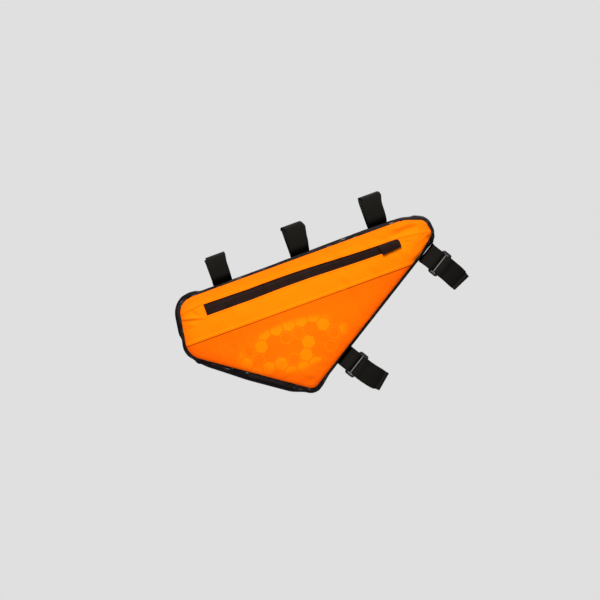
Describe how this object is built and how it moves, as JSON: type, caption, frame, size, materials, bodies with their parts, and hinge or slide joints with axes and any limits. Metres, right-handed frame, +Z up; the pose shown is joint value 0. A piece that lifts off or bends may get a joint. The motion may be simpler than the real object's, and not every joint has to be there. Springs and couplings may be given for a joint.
{
  "type": "bicycle frame bag",
  "caption": "Wedge-shaped fabric bag that hangs in a bicycle frame: orange panels on a black gusset, a long side zip, and strap loops for the top tube and down tube.",
  "frame": {"origin": "The middle of the top tube's axis, under the middle top strap, where the bag hangs (mount top_tube_hang). Nothing of the bag is there: the tube is.", "axes": "+X points to the bicycle's front, +Z up and +Y to the bicycle's left. The bag's top edge rises 20 degrees towards the front, as the tube in the picture does, and the zip faces -Y, the right-hand side."},
  "size_m": [0.3793, 0.0814, 0.2622],
  "materials": {
    "orange_fabric": "coated polyester, matt",
    "black_fabric": "laminated, satin",
    "zip_tape": "water-repellent film, satin",
    "zip_coil": "matt",
    "webbing": "woven hook-and-loop tape, matt",
    "plastic": "moulded, satin"
  },
  "bodies": {
    "root": {"gusset": "black_fabric", "left_panel": "orange_fabric", "right_panel_upper": "orange_fabric", "right_panel_middle": "orange_fabric", "right_panel_lower": "orange_fabric", "zip_tape_upper": "zip_tape", "zip_tape_lower": "zip_tape", "zip_coil": "zip_coil", "zip_slider": "plastic", "zip_garage": "zip_tape", "top_strap_rear": "webbing", "top_strap_middle": "webbing", "top_strap_front": "webbing", "down_strap_upper_tab": "webbing", "down_strap_upper_ring": "plastic", "down_strap_upper": "webbing", "down_strap_lower_tab": "webbing", "down_strap_lower_ring": "plastic", "down_strap_lower": "webbing"}
  },
  "joints": []
}
